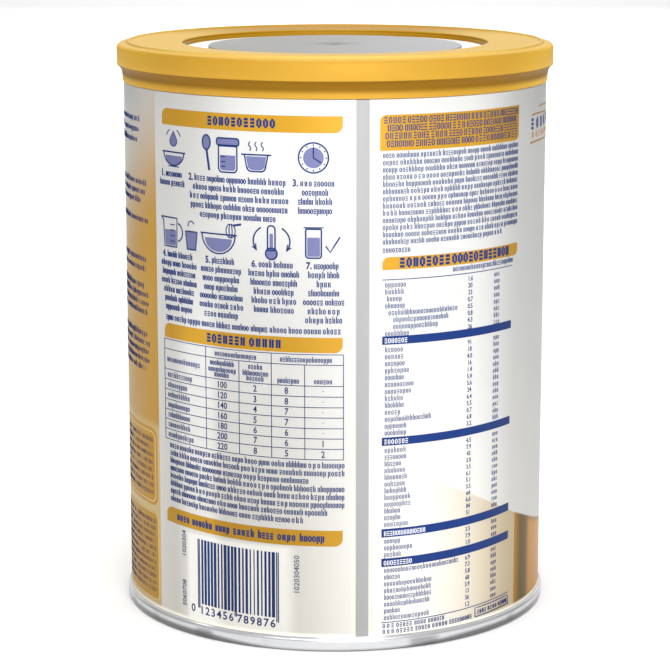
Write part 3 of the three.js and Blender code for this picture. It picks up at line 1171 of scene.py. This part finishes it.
class TIN_OT_rules(bpy.types.Operator):
    """Draw the table's rules and the thin lines round the print"""

    bl_idname = "tin.rules"
    bl_label = "Rules"

    def execute(self, context):
        left, right = TABLE_COLUMNS[0], TABLE_COLUMNS[-1]
        rule = 0.2
        top, header = 87.4, 84.4
        lines = [(rule, [(left, z), (right, z)]) for z in [top] + TABLE_ROWS]
        lines.append((rule, [(left, header), (right, header)]))
        low = TABLE_ROWS[-1]
        tops = [top, top, header, top, header, top]
        lines += [(rule, [(x, low), (x, high)]) for x, high in zip(TABLE_COLUMNS, tops)]
        lines += [(0.22, [(RIGHT_EDGE, z), (60.0, z)]) for z in (108.6, 8.0)]
        box = rounded(44.8, 4.55, 60.0, 7.2, (0, 0, 0, 0))
        lines.append((0.28, box + box[:1]))
        lay_lines("rules", lines, *ink("blue"))
        return {"FINISHED"}


class TIN_OT_marks(bpy.types.Operator):
    """Set the headings and the rows of small marks"""

    bl_idname = "tin.marks"
    bl_label = "Headings and small print"

    def execute(self, context):
        inks = context.scene.tin_print
        blue, over = ink("blue"), ink("blue", "top")
        heads = [(-37.4, -17.6, 151.3), (-38.4, -27.0, 88.95), (-24.2, -16.2, 88.95)]
        lay_marks("headings", heads, 2.4, 2.15, *over, "level_marks", 1.5)
        heads = [(19.2, 33.4, 112.0), (35.8, 57.2, 112.0)]
        lay_marks("right_heading", heads, 2.6, 2.12, *over, "level_marks", 1.5)

        notice = Words(inks.seed + 1, 3.4, 6.6, 2.3).run(-51.4, -3.6, 32.6)
        lay_marks("bar_notice", notice.list, 1.75, 1.4, *over, weight=1.5)
        warning = Words(inks.seed + 2, 3.0, 8.0, 1.6)
        for row, (left, right) in enumerate([(14.2, 61.6), (15.2, 60.6), (14.6, 61.0), (15.0, 60.8)]):
            warning.run(left, right, 152.6 - 2.2 * row)
        lay_marks("box_warning", warning.list, 1.85, 1.3, *over, "level_marks", 0.9)

        captions = Words(inks.seed + 3, 2.4, 6.0, 1.4)
        for start, middle, top, widths in CAPTIONS:
            captions.run(start + 1.9, middle + widths[0] / 2, top)
            captions.centred(middle, top - 2.58, 2.58, widths[1:])
        captions.run(-55.6, 1.2, 93.3)
        lay_marks("captions", captions.list, 1.38, 1.0, *blue, weight=1.25)

        table = Words(inks.seed + 4, 2.4, 7.0, 0.9)
        table.run(-36.0, -23.2, 85.1).run(-15.4, -1.2, 85.1)
        for middle, widths in ((-34.0, [7.4, 8.6]), (-23.2, [3.6, 7.2])):
            table.centred(middle, 82.3, 1.9, widths)
        table.run(-36.2, -32.0, 78.9).run(-25.6, -21.0, 78.9).run(-16.2, -10.6, 78.9).run(-5.6, -1.2, 78.9)
        lay_marks("table_heads", table.list, 1.2, 0.92, *blue, weight=1.2)
        ages = Words(inks.seed + 5, 3.0, 6.2, 1.0).run(-55.4, -42.2, 80.6)
        ends = [-45.4, -47.4, -46.4, -46.4, -46.4, -46.4, -45.0]
        for base, end in zip(TABLE_ROWS[1:], ends):
            ages.run(-55.2, end, base + 0.75)
        lay_marks("row_names", ages.list, 1.3, 1.0, *blue)

        notes = Words(inks.seed + 6, 2.0, 6.4, 1.3)
        notes.block(-54.5, 2.3, 54.4, 2.33, 3, -8.0).block(-54.5, 2.3, 47.4, 2.33, 4, -2.6)
        notes.run(-54.5, -9.6, 38.0)
        lay_marks("notes", notes.list, 1.35, 1.0, *blue, weight=1.2)

        parts = Words(inks.seed + 7, 2.0, 7.6, 1.3).block(13.8, 62.0, 143.0, 2.03, 13, 54.0)
        lay_marks("list_block", parts.list, 1.22, 0.98, *blue, weight=1.0)
        bold = Words(inks.seed + 8, 2.6, 4.6, 1.5).run(13.8, 21.2, 116.3)
        bold.run(14.2, 33.0, 6.3).run(14.2, 43.0, 4.55).run(46.0, 59.0, 5.2)
        lay_marks("bold_lines", bold.list, 1.25, 1.05, *over, "level_marks", 1.0)

        rows = Words(inks.seed + 9, 3.4, 7.6, 0.8)
        rows.run(35.6, 60.0, 109.6)
        units = Words(inks.seed + 10, 1.0, 2.2, 0.5)
        indents = [0, 0, 0.5, 0, 1.0, 2.4, 2.4, 0]
        long_rows = {4: 21.0, 5: 16.5, 6: 13.0, 18: 13.4, 36: 23.2}
        long_rows.update({38: 14.0, 39: 13.8, 40: 14.0, 41: 13.4, 43: 13.2})
        number = 0
        for top, count, pitch in ROW_BLOCKS:
            for row in range(count):
                base = top - pitch * row - 0.5
                start = RIGHT_EDGE + 1.15 + (indents[number] if number < len(indents) else 0.0)
                rows.run(start, start + long_rows.get(number, rows.draw.uniform(3.6, 8.0)), base)
                units.run(51.6, 53.4, base)
                number += 1
        lay_marks("row_labels", rows.list, 1.2, 0.94, *blue, weight=0.95)
        lay_marks("row_units", units.list, 1.1, 0.95, *blue, weight=0.85)

        side = Words(inks.seed + 11, 4.0, 9.0, 1.0)
        groups = [
            (149.4, 3.1, [-71.0, -71.8, -73.2]),
            (131.0, 2.7, [-66.8, -67.8, -71.2]),
            (120.0, 2.7, [-66.0]),
            (108.4, 2.9, [-67.8, -67.8]),
            (100.4, 2.6, [-69.6, -66.6, -66.4, -67.4]),
            (86.0, 2.6, [-67.6, -66.0, -67.0, -66.4, -68.8]),
        ]
        for top, pitch, ends in groups:
            for row, end in enumerate(ends):
                side.run(-92.0, end, top - pitch * row)
        lay_marks("side_notes", side.list, 1.35, 1.3, *over, weight=0.36)
        boxed = Words(inks.seed + 12, 3.0, 7.0, 1.3)
        boxed.block(-90.0, -65.0, 54.6, 2.3, 8).block(-90.0, -64.0, 29.8, 2.12, 11)
        lay_marks("box_notes", boxed.list, 1.35, 1.15, *over, "level_marks", 0.26)
        return {"FINISHED"}


class TIN_OT_figures(bpy.types.Operator):
    """Print the plain figures in the table, beside the bars and in the value list"""

    bl_idname = "tin.figures"
    bl_label = "Figures"

    def execute(self, context):
        inks = context.scene.tin_print
        draw = random.Random(inks.seed)

        def table(body):
            tall = 1.9
            for row, base in enumerate(TABLE_ROWS[1:]):
                foot = base + 0.62
                for figure, middle in ((100 + 20 * row, -34.0), (2 + row, -23.3), (8 - row // 2, -13.9)):
                    add_digits(body, str(figure), middle, foot, tall)
                if row < 5:
                    add_digits(body, "-", -3.4, foot + 0.7, 0.4)
                else:
                    add_digits(body, str(row - 4), -3.4, foot, tall)
            for number, (across, _, base, _) in enumerate(CAPTIONS, start=1):
                add_digits(body, f"{number}.", across + 0.1, base, 1.95, bold=0.03)
            add_digits(body, "0", -45.4, 6.2, 2.4, 1.0)
            for spot, figure in enumerate("123456789876"):
                across = -42.0 + 2.1 * spot + (0.7 if spot > 5 else 0.0)
                add_digits(body, figure, across, 6.2, 2.4, 1.0)
            upright = [("1020304", -48.3, 26.1), ("5060708", -48.3, 11.0), ("1020304050", -10.3, 22.6)]
            for text, across, middle in upright:
                add_digits(body, text, across, middle, 1.6, 1.0, math.pi / 2, 0.0)

        lay_fields("figures", [], *ink("blue"), table)

        def values(body):
            for top, count, pitch in ROW_BLOCKS:
                for row in range(count):
                    if draw.random() < 0.6:
                        text = f"{draw.uniform(0.1, 9.9):.1f}"
                    else:
                        text = str(draw.randint(11, 99))
                    add_digits(body, text, 41.6, top - pitch * row - 0.5, 1.35, 0.8)

        lay_fields("value_list", [], *ink("blue"), values)
        return {"FINISHED"}


class TIN_OT_bars(bpy.types.Operator):
    """Print the block of upright bars"""

    bl_idname = "tin.bars"
    bl_label = "Bar block"

    def execute(self, context):
        inks = context.scene.tin_print
        height, foot = 19.6, 9.2
        mesh = bpy.data.meshes.new("bar_row")
        middle = foot + height / 2
        mesh.from_pydata([(-41.7 * MM, middle * MM, 0), (-18.0 * MM, middle * MM, 0)], [(0, 1)], [])
        own = {"Pitch": 1.14 * MM, "Thinnest": 0.26 * MM, "Thickest": 1.04 * MM, "Bar height": height * MM}
        own["Seed"] = inks.seed + 3
        values = {**wall_values(*ink("blue")[:2]), **own}
        piece = apply_tree("bar_row", mesh, bar_tree(), values)
        ride(piece, "blue_ink")
        guards = [-43.3, -42.8, -30.2, -29.7, -17.0, -16.5]
        lines = [(0.3, [(x, foot - 1.4), (x, foot + height)]) for x in guards]
        lay_lines("bar_guards", lines, *ink("blue", "top"))
        return {"FINISHED"}


class TIN_OT_pictograms(bpy.types.Operator):
    """Draw the plain pictograms above the captions"""

    bl_idname = "tin.pictograms"
    bl_label = "Pictograms"

    def execute(self, context):
        lines, fills = [], []
        thin, thick = 0.3, 0.42

        def stroke(width, *points):
            lines.append((width, list(points)))

        def loop(width, outline, filled=True):
            lines.append((width, outline + outline[:2]))
            if filled:
                fills.append(outline)

        # Drop over a bowl
        drop = [(-51.6, 148.4)] + arc((-51.6, 145.6), 1.5, 20, -200, 16)
        loop(thin, drop)
        stroke(thick, *arc((-51.6, 142.4), (4.4, 3.8), 180, 360, 20))
        stroke(thick, (-56.6, 142.4), (-46.6, 142.4))
        stroke(thin, (-54.0, 138.3), (-49.2, 138.3))
        fills.append(arc((-51.6, 141.4), (3.6, 2.6), 180, 360, 16))
        stroke(thin, *arc((-51.6, 146.0), 3.2, 20, 60, 5))
        stroke(thin, *arc((-51.6, 146.0), 3.2, 120, 160, 5))

        # Upright spoon
        loop(thick, arc((-38.6, 146.3), (1.4, 2.1), 0, 345, 18))
        stroke(0.7, (-38.5, 144.2), (-37.6, 138.4))

        # Jar with a lid and a level
        loop(thick, rounded(-35.0, 145.8, -27.8, 147.8, (0.5, 0.5, 0.7, 0.7)))
        loop(thick, rounded(-34.4, 138.2, -28.4, 145.6, (1.2, 1.2, 0.4, 0.4)), False)
        fills.append(rounded(-33.9, 138.7, -28.9, 143.0, (0.9, 0.9, 0, 0)))
        for up in (139.8, 141.2, 142.6):
            stroke(thin, (-33.6, up), (-32.2, up))

        # Wide pan with steam
        stroke(thick, (-27.0, 143.6), (-18.0, 143.6))
        left, right = arc((-24.0, 140.2), 1.3, 190, 270, 5), arc((-21.0, 140.2), 1.3, 270, 350, 5)
        stroke(thick, (-26.0, 143.4), (-25.4, 140.0), *left, (-21.2, 138.9), *right, (-19.0, 143.4))
        low = [(-25.0, 140.0), (-24.0, 139.3), (-21.0, 139.3), (-20.0, 140.0)]
        fills.append([(-25.5, 143.1), *low, (-19.5, 143.1)])
        for across in (-24.4, -22.5, -20.6):
            steam = [(across + 0.35 * math.sin(step * 1.1), 144.7 + 0.42 * step) for step in range(7)]
            stroke(thin, *steam)

        # Clock
        loop(thick, arc((-6.0, 143.2), 4.2, 0, 350, 32), False)
        fills.append(arc((-6.0, 143.2), 2.9, 0, 345, 24))
        stroke(thick, (-6.0, 146.2), (-6.0, 143.2), (-3.8, 141.8))
        for turn in range(0, 360, 30):
            tick = [arc((-6.0, 143.2), far, turn, turn, 1)[0] for far in (3.3, 3.8)]
            stroke(thin, *tick)

        # Measuring jug and cup
        jug = [(-57.6, 123.4), (-56.6, 122.4), (-56.2, 115.0), (-50.6, 115.0), (-50.4, 123.4)]
        stroke(thick, *jug, jug[0])
        stroke(thick, *arc((-50.4, 119.4), (2.3, 2.6), 80, -80, 12))
        fills.append([(-56.0, 119.8), (-55.8, 115.4), (-51.0, 115.4), (-50.9, 119.8)])
        for up in (116.6, 118.2, 119.8, 121.4):
            stroke(thin, (-53.4, up), (-51.4, up))
        loop(thick, [(-46.8, 120.2), (-46.2, 115.0), (-42.9, 115.0), (-42.3, 120.2)])
        stroke(thin, *arc((-44.6, 122.0), 1.2, 200, 20, 8))

        # Bowl with a whisk
        stroke(thick, (-41.0, 120.4), (-28.6, 120.4))
        stroke(thick, *arc((-34.8, 120.2), (5.6, 5.4), 180, 360, 24))
        fills.append(arc((-34.8, 119.2), (4.6, 3.9), 180, 360, 20))
        for wide in (0.5, 1.5):
            stroke(thin, *arc((-30.6, 121.6), (wide, 2.0), 100, 440, 16))
        stroke(0.6, (-29.8, 123.2), (-27.2, 123.7))

        # Thermometer between two turning arrows
        loop(thick, rounded(-19.2, 116.8, -17.0, 123.8, (0.2, 0.2, 1.0, 1.0)), False)
        loop(thick, arc((-18.1, 115.9), 1.7, 60, -240, 20))
        fills.append(rounded(-18.6, 117.0, -17.6, 121.6, (0, 0, 0.4, 0.4)))
        for side in (-1, 1):
            bend = arc((-18.1, 119.4), (5.4, 4.6), 90 - side * 35, 90 - side * 125, 14)
            stroke(thick, *bend)
            tip = bend[-1]
            stroke(thick, (tip[0] + 1.3 * side, tip[1] + 1.0), tip, (tip[0] + 0.3 * side, tip[1] + 1.8))

        # Full beaker and a tick
        loop(thick, rounded(-8.2, 115.0, -3.8, 123.2, (0.8, 0.8, 0.3, 0.3)), False)
        fills.append(rounded(-7.8, 115.4, -4.2, 120.8, (0.5, 0.5, 0, 0)))
        stroke(thin, (-8.8, 123.6), (-3.2, 123.6))
        stroke(thick, (-2.6, 118.4), (-1.3, 116.7), (1.4, 121.0))

        lay_fields("pictogram_fills", fills, *ink("lavender", "field"))
        lay_lines("pictogram_lines", lines, *ink("blue"))
        return {"FINISHED"}


class TIN_OT_stage(bpy.types.Operator):
    """Set the floor, the lights and the camera"""

    bl_idname = "tin.stage"
    bl_label = "Studio"

    def execute(self, context):
        studio = context.scene.tin_studio
        half = studio.floor_size / 2
        mesh = bpy.data.meshes.new("floor")
        corners = [(-half, -half, 0), (half, -half, 0), (half, half, 0), (-half, half, 0)]
        mesh.from_pydata(corners, [], [(0, 1, 2, 3)])
        floor = new_object("floor", mesh)
        mesh.materials.append(floor_material())
        softbox("key_light", (0.12, -0.8, 0.3), (0.0, 0.0, 0.09), (0.45, 0.45), studio.key_power)
        softbox("fill_light", (-0.34, -0.9, 0.7), (0.0, 0.0, 0.15), (0.5, 0.5), studio.fill_power)
        softbox("back_light", (0.0, 2.6, 0.85), (0.0, 0.0, 0.17), (3.2, 1.0), studio.back_power)
        softbox("low_light", (-0.5, -0.16, 0.06), (0.0, 0.0, 0.05), (0.1, 0.12), studio.low_power)
        top = softbox("top_light", (0.0, 3.0, 3.0), (0.0, 3.0, 0.0), (2.4, 8.0), studio.top_power)
        top.data.spread = math.radians(60)
        world = bpy.data.worlds.new("studio")
        context.scene.world = world
        world.use_nodes = True
        glow = world.node_tree.nodes["Background"].inputs
        glow["Color"].default_value = (1.0, 1.0, 1.0, 1.0)
        glow["Strength"].default_value = 0.06
        lens = bpy.data.cameras.new("camera")
        lens.lens = studio.lens
        lens.sensor_width = 36.0
        lens.clip_start = 0.01
        camera = new_object("camera", lens)
        camera.location = (0.0, -studio.camera_back, studio.camera_height)
        camera.rotation_euler = (studio.camera_tilt, 0.0, 0.0)
        context.scene.camera = camera
        context.scene.view_settings.view_transform = "Standard"
        return {"FINISHED"}


def floor_material():
    """Plain white floor with the faintest unevenness, lit through a little from below."""
    plain = (0.96, 0.96, 0.96)
    glow = {"Emission_Color": opaque(plain), "Emission_Strength": 0.08}
    return finish_material("floor_look", plain, 0.8, 0.04, 0.02, 60.0, 0.02 * MM, **glow)


def softbox(name, place, aim, size, watts):
    """A rectangular area light that faces its aim."""
    light = bpy.data.lights.new(name, "AREA")
    light.shape = "RECTANGLE"
    light.size, light.size_y = size
    light.energy = watts
    made = new_object(name, light)
    made.location = place
    made.rotation_euler = (Vector(aim) - Vector(place)).to_track_quat("-Z", "Y").to_euler()
    made.visible_camera = False
    return made


MAKERS = [
    TIN_OT_stage,
    TIN_OT_wall,
    TIN_OT_seam,
    TIN_OT_overcap,
    TIN_OT_centre,
    TIN_OT_gold_fields,
    TIN_OT_blue_fields,
    TIN_OT_rules,
    TIN_OT_marks,
    TIN_OT_figures,
    TIN_OT_bars,
    TIN_OT_pictograms,
]


class TIN_PT_dressing(bpy.types.Panel):
    """Lists what dresses the tin"""

    bl_label = "Formula tin"
    bl_space_type = "VIEW_3D"
    bl_region_type = "UI"
    bl_category = "Tin"

    def draw(self, context):
        for maker in MAKERS:
            self.layout.operator(maker.bl_idname)
        for label, group in GROUPS.items():
            box = self.layout.box()
            for value in group.__annotations__:
                box.prop(getattr(context.scene, label), value)


GROUPS = {"tin_sizes": TinSizes, "tin_print": PrintSizes, "tin_colours": Colours, "tin_studio": Studio}


def register():
    for made in [*GROUPS.values(), *MAKERS, TIN_PT_dressing]:
        bpy.utils.register_class(made)
    for label, group in GROUPS.items():
        setattr(bpy.types.Scene, label, PointerProperty(type=group))


def unregister():
    for label in GROUPS:
        delattr(bpy.types.Scene, label)
    for made in reversed([*GROUPS.values(), *MAKERS, TIN_PT_dressing]):
        bpy.utils.unregister_class(made)


def main():
    register()
    for maker in MAKERS:
        family, action = maker.bl_idname.split(".")
        getattr(getattr(bpy.ops, family), action)()


if __name__ == "__main__":
    main()
